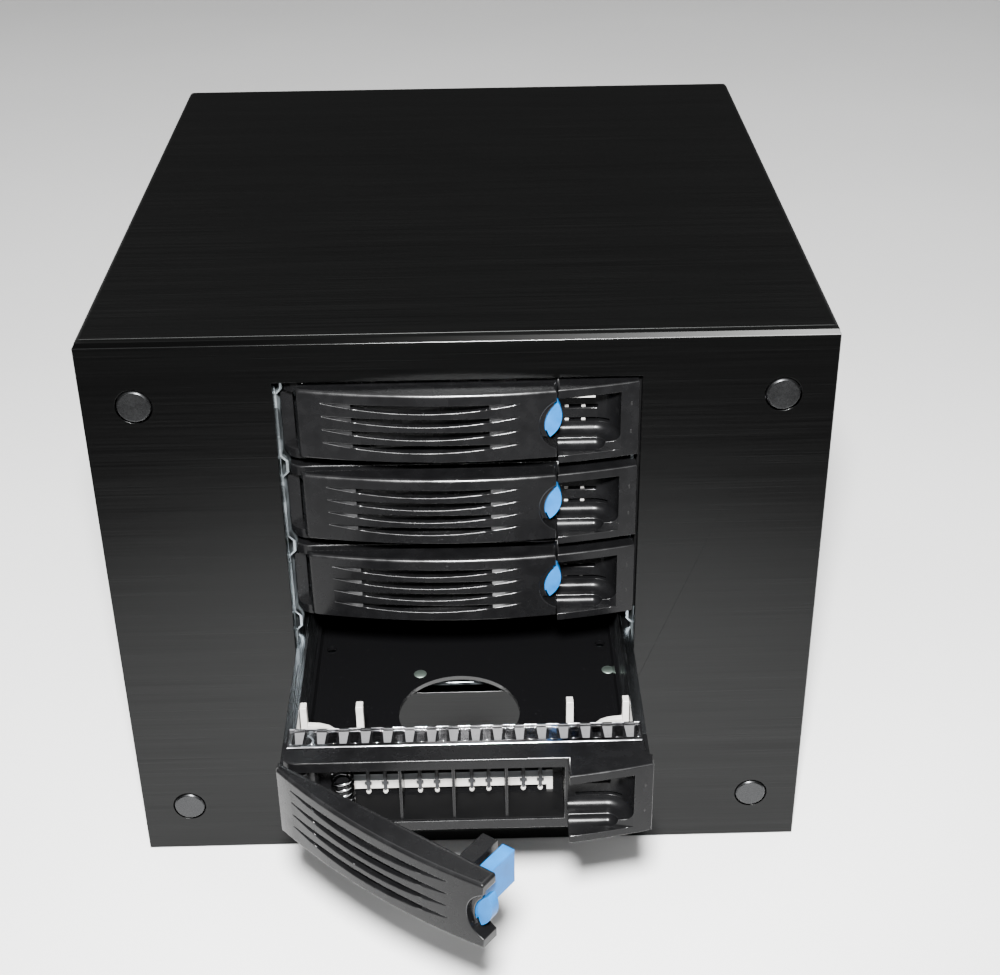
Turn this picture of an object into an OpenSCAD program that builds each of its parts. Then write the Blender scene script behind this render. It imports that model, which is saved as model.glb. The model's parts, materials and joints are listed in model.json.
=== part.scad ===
// Four-bay desktop storage enclosure with hot-swap drive trays.
// Millimetres, +Z up, +Y from the front plate into the case.

/* [Case] */
// Width over the cover
case_w = 237.5; // [232:0.5:250]
// How far each side of the front plate stands in from the cover
plate_in = 1; // [0:0.1:1.5]
// Height of the front plate
case_h = 201; // [199:1:215]
// Depth from the front plate to the rear panel
case_d = 263; // [260:1:300]
// Thickness of the aluminium front plate
plate_t = 4; // [3:0.5:5]
// Thickness of the cover sheet
cover_t = 1.6; // [1.2:0.2:2]
// Gap between the front plate and the cover
cover_gap = 2.9; // [2:0.1:4]
// Height of the feet below the front plate
foot_h = 1; // [1:0.5:6]

/* [Front caps] */
// Diameter of each turned cap
cap_d = 10.8; // [9:0.1:12]
// Distance of the caps from the middle of the plate
cap_x = 101.3; // [95:0.1:105]
// Height of the lower caps
cap_low = 19.2; // [17:0.1:25]
// Height of the upper caps
cap_high = 180.8; // [175:0.1:185]

/* [Drive bays] */
// Middle of the bays, left or right of the middle of the case
bay_x = -0.5; // [-3:0.5:3]
// Width of the bay opening
bay_w = 115; // [115:0.5:118]
// Height of the bottom of the bay opening
bay_z = 67.6; // [67:0.1:69]
// Height from one tray to the next
bay_pitch = 30; // [30:0.5:32]
// How far the lowest tray is pulled out
tray_out = 75.5; // [0:0.5:120]
// How far the lowest tray's lever is open, in degrees
lever_open = 37.5; // [0:0.5:40]

/* [Boards and power] */
// Height of the board standoffs
standoff_h = 6.4; // [6.4:0.1:10]
// Size of the rear fan
fan_w = 120; // [120:1:121]
// Depth of the rear fan
fan_d = 25; // [15:1:25]

/* [Hidden] */
$fn = 48;

// The origin is under the middle of the whole object with the lowest tray pulled out
front_y = -69.7;
sheet_t = 1.2;
cover_y = plate_t + cover_gap;
inner_w = case_w - 2 * cover_t - 0.8;
inner_top = case_h - cover_t - 0.4;
rear_y = case_d - sheet_t;
frame_y = plate_t + 0.3;

// Trays
bays = 4;
tray_h = 27.1;
tray_top = bay_z + bays * bay_pitch - 1.2;
tray_wide = 56.6;
tray_narrow = 54.7;
tray_end = 184;
runner_top = 21.6;
runner_low = 0.6;
nose_y = -7.4;
nose_r = 220;
bezel_y = 3.6;
strip_y = 10.6;
flange_y = 21;
floor_z = 1.2;
floor_top = 2.7;
win_low = 3.4;
win_high = 23.6;
win_left = -49.5;
win_right = 30.1;
grid_y = 16;
grid_t = 1.5;
cell_pitch = 16.15;
cell_x = -27.9;
cells = 4;
drive_end = 182;
side_wall = 51;

// Levers
lever_low = 3.5;
lever_left = -49.1;
lever_right = 30.6;
lever_back = 0.8;
pivot_x = -47.9;
pivot_y = 10.5;
pin_r = 1.25;
pin_gap = 0.05;
latch_x = 22.4;
leaf_x = 29.8;
slots = 4;
slot_pitch = 4.6;

// Cage
wall_in = 57;
wall_t = 1;
ridge_in = 55;
cage_end = 190;
cage_y = plate_t + 1.4;
shelf_z = 65.4;

// Rear
fan_x = 0;
fan_z = 128;
psu_w = 40.5;
psu_h = 81.5;
psu_d = 150;
psu_x = 67.5;
board_w = 170;
board_rear = 260;

// ---- Helpers ----
function arc(x, y, r, from, to, steps = 8) =
    [for (i = [0:steps]) let (a = from + (to - from) * i / steps) [x + r * cos(a), y + r * sin(a)]];

// The bowed front of the trays, from x = from to x = to
function nose(from, to, steps = 12) =
    [for (i = [0:steps]) let (x = from + (to - from) * i / steps) [x, nose_y + x * x / (2 * nose_r)]];

module in_case() { translate([0, front_y, foot_h]) children(); }

// Extrudes an X-Z outline along +Y
module along_y(from, to) {
    translate([0, to, 0]) rotate([90, 0, 0]) linear_extrude(to - from) children();
}

module rod_y(r, from, to, x, z) {
    translate([x, to, z]) rotate([90, 0, 0]) cylinder(r = r, h = to - from);
}

module box(x0, x1, y0, y1, z0, z1) {
    translate([x0, y0, z0]) cube([x1 - x0, y1 - y0, z1 - z0]);
}

// Puts a tray's pieces in their bay, 1 at the top
module in_bay(n) {
    in_case() translate([bay_x, n == bays ? -tray_out : 0, tray_top - tray_h - (n - 1) * bay_pitch])
        children();
}

// Turns a lever's pieces about their hinge pin
module on_pivot(n) {
    in_bay(n) translate([pivot_x, pivot_y, 0]) rotate(n == bays ? -lever_open : 0)
        translate([-pivot_x, -pivot_y, 0]) children();
}

module cap_places() {
    for (x = [-cap_x, cap_x], z = [cap_low, cap_high]) translate([x, 0, z]) children();
}

// ---- Front ----
module front_plate() {
    color("#17181a") in_case() difference() {
        box(plate_in - case_w / 2, case_w / 2 - plate_in, 0, plate_t, 0, case_h);
        box(bay_x - bay_w / 2, bay_x + bay_w / 2, -1, plate_t + 1, bay_z, bay_z + bays * bay_pitch + 0.4);
        cap_places() rod_y(cap_d / 2 + 0.4, -1, 2.4, 0, 0);
        cap_places() rod_y(2.15, -1, plate_t + 1, 0, 0);
        translate([cap_x, 0, cap_high]) rod_y(cap_d / 2 + 0.4, -1, plate_t + 1, 0, 0);
    }
}

module cap_head() {
    rotate([90, 0, 0]) rotate_extrude()
        polygon([[0, -2.4], [cap_d / 2, -2.4], [cap_d / 2, -0.1], [cap_d / 2 - 0.5, 0.4], [0, 0.4]]);
}

module cap_screws() {
    color("#2b2c2f") in_case() for (x = [-cap_x, cap_x], z = [cap_low, cap_high])
        if (x < 0 || z < case_h / 2) translate([x, 0, z]) {
            cap_head();
            rod_y(2, 2.3, 9, 0, 0);
        }
}

module power_button() {
    color("#2b2c2f") in_case() translate([cap_x, 0, cap_high]) {
        cap_head();
        rod_y(3, 2.3, 8, 0, 0);
        rod_y(2, 7.9, 15, 0, 0);
    }
}

module button_housing() {
    color("#202020") in_case() translate([cap_x, 0, cap_high]) difference() {
        union() {
            rod_y(7, frame_y + sheet_t, 18.5, 0, 0);
            rod_y(8.5, frame_y + sheet_t, 7, 0, 0);
        }
        rod_y(3.05, 0, 10.2, 0, 0);
        rod_y(2.4, 10, 17, 0, 0);
    }
}

module front_frame() {
    color("#3a3b3d") in_case() difference() {
        union() {
            box(-inner_w / 2, inner_w / 2, frame_y, frame_y + sheet_t, sheet_t + 0.1, inner_top);
            for (s = [-1, 1]) box(s * (inner_w / 2 - 0.6) - 0.6, s * (inner_w / 2 - 0.6) + 0.6,
                frame_y, 17, sheet_t + 17.5, inner_top);
            box(-inner_w / 2, inner_w / 2, frame_y, 17, inner_top - sheet_t, inner_top);
        }
        box(bay_x - 60, bay_x + 60, 0, 20, 64, 192.2);
        cap_places() rod_y(2.05, 0, 20, 0, 0);
        translate([cap_x, 0, cap_high]) rod_y(3.4, 0, 20, 0, 0);
    }
}

// ---- Shell ----
module cover_outline(inset, low) {
    w = case_w / 2 - inset;
    h = case_h - inset;
    r = max(2.2 - inset, 0.6);
    polygon(concat([[-w, low]], arc(-w + r, h - r, r, 180, 90, 6), arc(w - r, h - r, r, 90, 0, 6), [[w, low]]));
}

module cover() {
    color("#141517") in_case() difference() {
        along_y(cover_y, case_d) difference() {
            cover_outline(0, 0);
            cover_outline(cover_t, -1);
        }
        cover_screw_places() {
            translate([0, 0, -6]) cylinder(r = 1.7, h = 8);
            translate([0, 0, -1]) cylinder(r1 = 1.6, r2 = 2.83, h = 1.1);
        }
    }
}

// The side screws' places, each turned to look out of its side
module cover_screw_places() {
    for (s = [-1, 1], z = [40, 160]) translate([s * case_w / 2, 240, z]) rotate([0, s * 90, 0]) children();
}

module base_pan() {
    color("#3a3b3d") in_case() difference() {
        union() {
            box(-inner_w / 2, inner_w / 2, frame_y, rear_y - 0.1, 0, sheet_t);
            for (s = [-1, 1]) box(s * (inner_w / 2 - 0.6) - 0.6, s * (inner_w / 2 - 0.6) + 0.6,
                frame_y + sheet_t + 0.1, rear_y - 0.1, 0, 18);
        }
        board_places() translate([0, 0, -1]) cylinder(r = 1.6, h = 4);
        foot_places() translate([0, 0, -1]) cylinder(r = 2.5, h = 4);
        for (i = [0:8], j = [0:3]) translate([-48 + 12 * i, 130 + 12 * j, -1]) cylinder(r = 3, h = 4);
    }
}

// The holes of a Mini-ITX board, with its rear edge at the rear panel
module board_places() {
    for (p = [[-78.65, 10.16], [78.83, 33.02], [-78.65, 165.1], [78.83, 165.1]])
        translate([p[0], board_rear - p[1], 0]) children();
}

module board_standoffs() {
    color("#b8923a") in_case() board_places() translate([0, 0, sheet_t]) difference() {
        union() {
            cylinder(r = 3.2, h = standoff_h, $fn = 6);
            translate([0, 0, -sheet_t]) cylinder(r = 1.55, h = sheet_t + 0.2);
        }
        translate([0, 0, 0.8]) cylinder(r = 1.25, h = standoff_h);
    }
}

module foot_places() {
    for (x = [-95, 95], y = [28, 238]) translate([x, y, 0]) children();
}

module rubber_feet() {
    color("#1c1c1c") in_case() foot_places() {
        translate([0, 0, -foot_h]) cylinder(r = 8, h = foot_h);
        translate([0, 0, -0.1]) cylinder(r = 2.4, h = sheet_t + 0.4);
        translate([0, 0, sheet_t + 0.05]) cylinder(r = 3.4, h = 1.2);
    }
}

module fan_holes(r) {
    for (x = [-52.5, 52.5], z = [-52.5, 52.5]) rod_y(r, case_d - 40, case_d + 5, fan_x + x, fan_z + z);
}

module rear_panel() {
    color("#3a3b3d") in_case() difference() {
        union() {
            box(-inner_w / 2, inner_w / 2, rear_y, case_d, 0, inner_top);
            for (s = [-1, 1]) box(s * (inner_w / 2 - 0.6) - 0.6, s * (inner_w / 2 - 0.6) + 0.6,
                rear_y - 30, case_d, 18.2, inner_top);
        }
        rod_y(57, rear_y - 5, case_d + 1, fan_x, fan_z);
        fan_holes(2.2);
        box(-81.5, 77.25, rear_y - 5, case_d + 1, 6.9, 51.35);
        box(psu_x + 2.5, psu_x + psu_w - 2.5, rear_y - 5, case_d + 1, 70, 64 + psu_h);
        cover_screw_places() translate([0, 0, -6]) cylinder(r = 1.55, h = 8);
        for (z = [80:8:176]) box(-105, -72, rear_y - 5, case_d + 1, z, z + 3.5);
    }
}

module cover_screws() {
    color("#2b2c2f") in_case() cover_screw_places() {
        translate([0, 0, -6]) cylinder(r = 1.5, h = 5.2);
        translate([0, 0, -0.9]) cylinder(r1 = 1.5, r2 = 2.6, h = 0.9);
    }
}

// ---- Cage ----
// One cage wall seen from the front: a sheet with a ridge beside the top of each tray
module cage_profile() {
    ridges = [for (n = [bays - 1:-1:0]) tray_top - 1 - n * bay_pitch];
    inner = concat([[wall_in, shelf_z + 1.3]],
        [for (z = ridges) for (p = [[wall_in, -4], [ridge_in, -2], [ridge_in, 2], [wall_in, 4]]) [p[0], z + p[1]]]);
    outer = [for (p = inner) p + [wall_t, 0]];
    polygon(concat(outer, [for (i = [len(inner) - 1:-1:0]) inner[i]]));
}

module cage_left_wall() {
    color("#b9bcc0") in_case() translate([bay_x, 0, 0]) mirror([1, 0, 0]) cage_sheet();
}

module cage_right_wall() {
    color("#b9bcc0") in_case() translate([bay_x, 0, 0]) cage_sheet();
}

module cage_sheet() {
    along_y(cage_y, cage_end) cage_profile();
    // Flange that bolts behind the front frame
    box(wall_in + 0.5, wall_in + 9, frame_y + sheet_t + 0.1, frame_y + 2 * sheet_t + 0.1, 72, 184);
}

module cage_top_plate() {
    color("#b9bcc0") in_case() translate([bay_x, 0, 0])
        box(-wall_in - wall_t, wall_in + wall_t, cage_y, cage_end, tray_top + 3.1, tray_top + 4.1);
}

module cage_shelf() {
    color("#b9bcc0") in_case() difference() {
        union() {
            box(-112, 112, 7, 205, shelf_z, shelf_z + sheet_t);
            for (s = [-1, 1]) box(s * 112 - 0.6, s * 112 + 0.6, 18, 205, shelf_z - 12, shelf_z + sheet_t);
        }
        box(-52, 52, 193, 210, shelf_z - 1, shelf_z + 3);
    }
}

module backplane() {
    color("#1d5a35") in_case() difference() {
        box(bay_x - 58, bay_x + 58, cage_end + 0.4, cage_end + 2, 68, 189);
        for (n = [1:bays]) for (x = [20:9:47]) rod_y(3.2, cage_end, cage_end + 3, bay_x + x,
            tray_top - 13 - (n - 1) * bay_pitch);
    }
}

module drive_connectors() {
    color("#161616") in_case() for (n = [1:bays]) translate([bay_x, 0, tray_top - tray_h - (n - 1) * bay_pitch])
        difference() {
            box(-44, 2, tray_end + 1, cage_end + 0.4, 5, 11.5);
            box(-42, -12, tray_end, tray_end + 5, 7, 9.5);
            box(-10, 0, tray_end, tray_end + 5, 7, 9.5);
        }
}

// ---- Rear fan ----
module fan_blades(r_tip, r_hub, count, y, depth, pitch) {
    for (i = [0:count - 1]) rotate([0, i * 360 / count, 0]) intersection() {
        translate([0, y, (r_tip + r_hub) / 2]) rotate([0, 0, pitch])
            cube([r_hub * 1.7, 1.6, r_tip - r_hub + 6], center = true);
        difference() {
            rod_y(r_tip, y - depth / 2, y + depth / 2, 0, 0);
            rod_y(r_hub - 0.5, y - depth, y + depth, 0, 0);
        }
    }
}

module fan_frame() {
    back = rear_y - 0.1;
    color("#202124") in_case() difference() {
        union() {
            difference() {
                box(fan_x - fan_w / 2, fan_x + fan_w / 2, back - fan_d, back, fan_z - fan_w / 2, fan_z + fan_w / 2);
                rod_y(57.5, back - fan_d - 1, back + 1, fan_x, fan_z);
                // The waist between the two flanges
                difference() {
                    box(-70, 70, back - fan_d + 4, back - 4, fan_z - 70, fan_z + 70);
                    rod_y(59.3, back - fan_d, back, fan_x, fan_z);
                    fan_corners(back);
                }
            }
            rod_y(20.5, back - 4, back - 0.5, fan_x, fan_z);
            for (a = [45:90:315]) translate([fan_x, 0, fan_z]) rotate([0, a, 0])
                box(19, 58.5, back - 3.4, back - 0.6, -2.2, 2.2);
            rod_y(3.4, back - 12, back - 3, fan_x, fan_z);
        }
        fan_holes(2.15);
        rod_y(1.55, back - 13, back - 2, fan_x, fan_z);
    }
}

module fan_corners(back) {
    for (x = [-52.5, 52.5], z = [-52.5, 52.5]) rod_y(4.5, back - fan_d, back, fan_x + x, fan_z + z);
}

module fan_rotor() {
    back = rear_y - 0.1;
    color("#2a2b2e") in_case() translate([fan_x, 0, fan_z]) {
        fan_blades(55.5, 19.6, 7, back - 13.5, 16, 32);
        difference() {
            rod_y(19.8, back - 23.5, back - 4.6, 0, 0);
            rod_y(17.8, back - 21.5, back - 4, 0, 0);
        }
        rod_y(1.5, back - 22, back - 2.6, 0, 0);
    }
}

module fan_guard() {
    color("#8d9196") in_case() translate([fan_x, 0, fan_z]) along_y(case_d, case_d + 1.2) difference() {
        union() {
            for (r = [14:8.4:57]) difference() {
                circle(r = r);
                circle(r = r - 1.8);
            }
            circle(r = 6);
            for (a = [45:90:315]) rotate(a) {
                translate([0, -1.4]) square([70, 2.8]);
                translate([74.25, 0]) circle(r = 5);
            }
        }
        for (a = [45:90:315]) rotate(a) translate([74.25, 0]) circle(r = 2.2);
    }
}

module fan_screws() {
    color("#8d9196") in_case() for (x = [-52.5, 52.5], z = [-52.5, 52.5])
        translate([fan_x + x, 0, fan_z + z]) {
            rod_y(3.8, case_d + 1.2, case_d + 2.6, 0, 0);
            rod_y(2.1, case_d - 12, case_d + 1.3, 0, 0);
        }
}

// ---- Power supply ----
psu_fan_z = 24;
psu_inlet_z = 64;

module psu_case() {
    z = shelf_z + sheet_t + 0.1;
    y1 = rear_y - 0.1;
    mid = psu_x + psu_w / 2;
    color("#8d9196") in_case() difference() {
        box(psu_x, psu_x + psu_w, y1 - psu_d, y1, z, z + psu_h);
        box(psu_x + 1, psu_x + psu_w - 1, y1 - psu_d + 1, y1 - 1, z + 1, z + psu_h - 1);
        for (r = [6:5:16]) difference() {
            rod_y(r + 1.6, y1 - 2, y1 + 1, mid, z + psu_fan_z);
            rod_y(r - 1.6, y1 - 2, y1 + 1, mid, z + psu_fan_z);
            for (a = [0, 90]) translate([mid, 0, z + psu_fan_z]) rotate([0, a + 45, 0])
                box(-20, 20, y1 - 3, y1 + 2, -0.8, 0.8);
        }
        box(mid - 13.6, mid + 13.6, y1 - 2, y1 + 1, z + psu_inlet_z - 10.1, z + psu_inlet_z + 10.1);
        for (k = [0:6]) box(psu_x + 8, psu_x + psu_w - 8, y1 - psu_d - 1, y1 - psu_d + 2,
            z + 10 + 10 * k, z + 14 + 10 * k);
    }
}

module psu_inlet() {
    z = shelf_z + sheet_t + 0.1 + psu_inlet_z;
    mid = psu_x + psu_w / 2;
    y1 = rear_y - 0.1;
    color("#101010") in_case() {
        difference() {
            union() {
                box(mid - 13.5, mid + 13.5, y1 - 17, y1, z - 10, z + 10);
                box(mid - 15, mid + 15, y1, y1 + 1.6, z - 11.5, z + 11.5);
            }
            box(mid - 12, mid + 12, y1 - 15, y1 + 3, z - 8.2, z + 8.2);
        }
        for (x = [-7, 0, 7]) let (up = x == 0 ? 3 : 0)
            box(mid + x - 1, mid + x + 1, y1 - 15.5, y1 - 5, z - 2 + up, z + 2 + up);
    }
}

module psu_fan_rotor() {
    z = shelf_z + sheet_t + 0.1 + psu_fan_z;
    y1 = rear_y - 0.1;
    color("#2a2b2e") in_case() translate([psu_x + psu_w / 2, 0, z]) {
        fan_blades(17.5, 8, 5, y1 - 12, 10, 32);
        rod_y(8.2, y1 - 18, y1 - 5, 0, 0);
    }
}

// ---- Trays ----
pocket_x = 42.9;
pocket_y = -1.4;
pocket_r = 8;

// Section of the finger pocket, by distance from its turning axis: a wall with two coves below it
module pocket_section() {
    polygon(concat([[0, win_high + 0.4], [pocket_r, win_high + 0.4]], arc(pocket_r - 3, 9.6, 3, 0, -75),
        arc(0.3, 6.8, 3, -5, -90), [[0, 3.8]]));
}

// A slot that follows the pocket's wall from x = 33.6 round to the given angle
module pocket_slot(z, turn) {
    translate([0, 0, z]) linear_extrude(1.3) polygon(concat(
        [[33.6, pocket_y + pocket_r - 1], [33.6, pocket_y + pocket_r + 2]],
        arc(pocket_x, pocket_y, pocket_r + 2, 90, 90 - turn), arc(pocket_x, pocket_y, pocket_r - 1, 90 - turn, 90)));
}

module finger_pocket() {
    left = lever_right + 0.5;
    right = pocket_x + pocket_r;
    box(lever_right - 2, left + 0.1, nose_y - 1, bezel_y - 0.01, win_low + 0.1, win_high + 0.4);
    box(left, right, nose_y - 1, pocket_y, 3.8, win_high + 0.4);
    box(left, pocket_x, pocket_y - 1, pocket_y + 0.2, 3.8, win_high + 0.4);
    translate([left, pocket_y, 0]) rotate([90, 0, 90]) linear_extrude(pocket_x - left) pocket_section();
    translate([pocket_x, pocket_y, 0]) rotate_extrude() pocket_section();
    pocket_slot(14.6, 10);
    pocket_slot(9.9, 38);
}

// A tray seen from the front: narrow beside the ridges and wide between them
module tray_outline(wide = tray_wide, low = 0) {
    polygon([[-tray_narrow, low], [tray_narrow, low], [tray_narrow, runner_low], [wide, runner_low],
        [wide, runner_top], [tray_narrow, runner_top], [tray_narrow, tray_h], [-tray_narrow, tray_h],
        [-tray_narrow, runner_top], [-wide, runner_top], [-wide, runner_low], [-tray_narrow, runner_low]]);
}

module tray_bezel() {
    color("#1b1c1d") difference() {
        intersection() {
            union() {
                linear_extrude(tray_h) polygon(concat([[-tray_wide, flange_y]],
                    arc(-tray_wide + 7, bezel_y + 7, 7, 180, 270),
                    [[lever_right + 0.5, bezel_y], [tray_wide, bezel_y], [tray_wide, flange_y]]));
                translate([0, 0, floor_z]) linear_extrude(tray_h - floor_z)
                    polygon(concat(nose(lever_right + 0.5, tray_wide, 6),
                        [[tray_wide, strip_y], [lever_right + 0.5, strip_y]]));
            }
            union() {
                box(-tray_wide, tray_wide, nose_y - 2, cage_y - 0.6, 0, tray_h);
                along_y(0, flange_y + 2) tray_outline();
            }
        }
        // Rebate under the spring strip
        box(-60, 60, strip_y, flange_y + 1, tray_h - 0.6, tray_h + 1);
        // Window behind the lever, then the hollow behind the grid
        box(win_left, win_right, nose_y, grid_y, win_low, win_high);
        for (i = [0:cells - 1]) box(cell_x + cell_pitch * i - 7.55, min(cell_x + cell_pitch * i + 7.55, 27.1),
            grid_y - 1, grid_y + grid_t + 1, win_low, win_high);
        box(-tray_narrow + 2, tray_narrow - 2, grid_y + grid_t, flange_y + 1, floor_top, tray_h - 2.1);
        // Room for the hinge arm, and for its swing to the left
        box(-tray_wide - 1, win_left + 1, nose_y, pivot_y - 2.5, win_low, win_high);
        box(pivot_x - 4.4, pivot_x + 4, nose_y, pivot_y + 3.5, win_low, win_high);
        // Hollow behind the wall of the finger pocket
        box(win_right + 1.6, tray_narrow - 2, pocket_y + pocket_r + 1.8, grid_y + grid_t + 1,
            floor_top, tray_h - 2.1);
        finger_pocket();
        // Bores of the hinge pin
        translate([pivot_x, pivot_y, 0.9]) cylinder(r = pin_r, h = tray_h - 2.4);
    }
}

module tray_grid_ribs() {
    color("#1b1c1d") for (i = [0:cells - 1], s = [-2.65, 2.65])
        box(cell_x + cell_pitch * i + s - 0.55, cell_x + cell_pitch * i + s + 0.55,
            grid_y + 0.1, grid_y + grid_t, 6.2, win_high + 0.5);
    // Deep dividers between the cells
    color("#1b1c1d") for (i = [0:cells - 2]) let (x = cell_x + cell_pitch * (i + 0.5))
        box(x - 0.45, x + 0.45, bezel_y + 1.1, grid_y + 0.1, win_low - 0.1, win_high + 0.1);
}

module tray_base() {
    color("#111214") difference() {
        union() {
            box(-side_wall - 0.5, side_wall + 0.5, flange_y + 0.05, tray_end, floor_z, floor_top);
            for (s = [-1, 1]) box(s * (side_wall + 0.5) - 0.5, s * (side_wall + 0.5) + 0.5,
                flange_y + 0.05, tray_end, floor_z, 9);
            box(-side_wall - 0.5, -45.2, tray_end - 1.6, tray_end, floor_z, 14);
            box(3.2, side_wall + 0.5, tray_end - 1.6, tray_end, floor_z, 14);
        }
        translate([-2.3, 58.5, 0]) cylinder(r = 20.3, h = 5);
        for (x = [-47.625, 47.625], y = [41.28, 85.73]) translate([x, drive_end - y, 0])
            cylinder(r = 1.8, h = 5);
        for (x = [-15.9, 49.4], y = [80.6, 157.2]) translate([x, y, 0]) cylinder(r = 1.6, h = 5);
        for (s = [-1, 1]) box(s * 41 - 6, s * 41 + 6, 44, 46.2, 0, 5);
    }
}

// Steel side rails with a turned-in top edge, which run between the ridges of the cage
module tray_rails() {
    color("#c3c6ca") for (s = [-1, 1]) mirror([s < 0 ? 1 : 0, 0, 0]) {
        along_y(flange_y + 0.2, tray_end - 0.4) polygon([[52.1, floor_z], [53.1, floor_z],
            [53.1, runner_low + 0.4], [tray_wide, runner_low + 0.4], [tray_wide, runner_low + 1.4],
            [53.1, runner_low + 1.4], [53.1, runner_top - 1], [tray_wide, runner_top - 1],
            [tray_wide, runner_top], [53.1, runner_top], [53.1, tray_h - 0.6], [52.1, tray_h - 0.6]]);
    }
}

// Sprung strip that earths the tray to its neighbour
module tray_emi_strip() {
    fingers = 16;
    pitch = 6.75;
    t = 0.3;
    z = tray_h - 0.55;
    color("#d2d4d8") {
        difference() {
            box(-54, 54, strip_y + 0.2, flange_y - 0.4, z, z + t);
            for (i = [0:fingers - 1]) box((i - 7.5) * pitch - 2.2, (i - 7.5) * pitch + 2.2,
                strip_y + 3.2, flange_y - 2.2, z - 1, z + 1);
        }
        // Rolled front edge
        translate([0, strip_y + 0.7, z + 0.5]) rotate([0, 90, 0]) cylinder(r = 0.5, h = 108, center = true, $fn = 16);
        for (i = [0:fingers - 1]) translate([(i - 7.5) * pitch - 1.6, 0, 0]) rotate([90, 0, 90]) linear_extrude(3.2)
            polygon([[strip_y + 3, z], [strip_y + 4.6, z + 1.3], [flange_y - 4, z + 1.6], [flange_y - 2, z],
                [flange_y - 2, z + t], [flange_y - 3.9, z + 1.9], [strip_y + 4.4, z + 1.6], [strip_y + 3, z + t]]);
    }
}

// White plastic frame that locates the front of the drive
module tray_clips() {
    w = side_wall - 0.1;
    bar_y = grid_y + grid_t + 0.2;
    post_y = 31.2;
    color("#eceae4") {
        // Bar behind the grid, and its two feet
        box(-w, 27.2, bar_y, bar_y + 1.6, 5.1, 8.1);
        for (x = [-w, 25.2]) box(x, x + 2, bar_y, flange_y + 0.2, 3, 8.1);
        box(-w, w, flange_y, flange_y + 1.6, 3, 6);
        for (s = [-1, 1]) {
            box(s * (w - 1) - 1, s * (w - 1) + 1, flange_y, flange_y + 1.6, 5.8, 11);
            box(s * (w - 1) - 1, s * (w - 1) + 1, flange_y, post_y + 0.2, 9.2, 11);
            // Corner posts and middle posts at the front of the drive
            box(s * w - 1, s * w + 1, post_y, post_y + 3.2, 9.2, tray_h - 0.4);
            box(s * 33.2 - 1.1, s * 33.2 + 1.1, post_y, post_y + 3.2, 3, tray_h - 0.4);
        }
        along_y(post_y + 0.8, post_y + 2.4) polygon([[-w, 3], [w, 3], [w, 19.5], [46, 19], [43.4, 18.2],
            [41.4, 16.6], [39.4, 14.4], [0, 12], [-39.4, 14.4], [-41.4, 16.6], [-43.4, 18.2], [-46, 19], [-w, 19.5]]);
    }
}

module tray_pin() {
    color("#c3c6ca") translate([pivot_x, pivot_y, 0.9]) cylinder(r = pin_r, h = tray_h - 2.5);
}

// Torsion spring on its post beside the hinge: level turns on one sleeve
module tray_spring() {
    turns = 6;
    r = 3.1;
    wire = 0.5;
    pitch = 2.3;
    color("#c9ccd0") translate([-37.6, 8.3, win_low]) rotate_extrude()
        polygon(concat([[2.1, 0], [r + wire, 0], [r + wire, 0.4], [r - 0.3, 0.5]],
            [for (i = [0:turns]) each arc(r - 0.3, 1.3 + i * pitch, wire + 0.3, -80, 80, 6)],
            [[r - 0.3, 2.3 + turns * pitch], [2.1, 2.3 + turns * pitch]]));
}

module lever_plan(inset) {
    polygon(concat([[lever_left - 1.9 + inset, lever_back], [lever_left - 1 + inset, -1]],
        nose(lever_left + inset, lever_right - inset), [[lever_right - inset, lever_back]]));
}

// A slot lens seen from the front: flat above, bowed below, with its ends cut off at x = +/- cut
module slot_lens(half, drop, cut) {
    edge = [for (i = [-8:8]) let (t = i * cut / 8) [t, drop * (1 - pow(t / half, 2))]];
    polygon(concat([for (p = edge) [p[0], 1.15]], [for (i = [len(edge) - 1:-1:0]) [edge[i][0], 1.1 - edge[i][1]]]));
}

// A shallow lens along the lever, with a slot right through its middle stretch
module lever_slot(z) {
    half = 30.7;
    translate([-11.8, 0, z]) rotate([90, 0, 0]) linear_extrude(20, center = true) slot_lens(half, 2.6, 21.4);
    difference() {
        translate([-11.8, 0, z]) rotate([90, 0, 0]) linear_extrude(20, center = true) slot_lens(half, 2.6, half);
        translate([0, 0.8, z - 5]) linear_extrude(10) polygon(concat(nose(-60, 50), [[50, 20], [-60, 20]]));
    }
}

module notch_shape(grow = 0) {
    intersection() {
        translate([lever_right - 3.1, 14.9]) circle(r = 9 + grow);
        translate([lever_right + 3.5, 14.9]) circle(r = 9 + grow);
    }
}

module leaf_shape(grow = 0) {
    translate([leaf_x, 15.9]) rotate(-11.5) intersection() {
        translate([-6.55, 0]) circle(r = 8.95 + grow);
        translate([6.55, 0]) circle(r = 8.95 + grow);
    }
}

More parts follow.
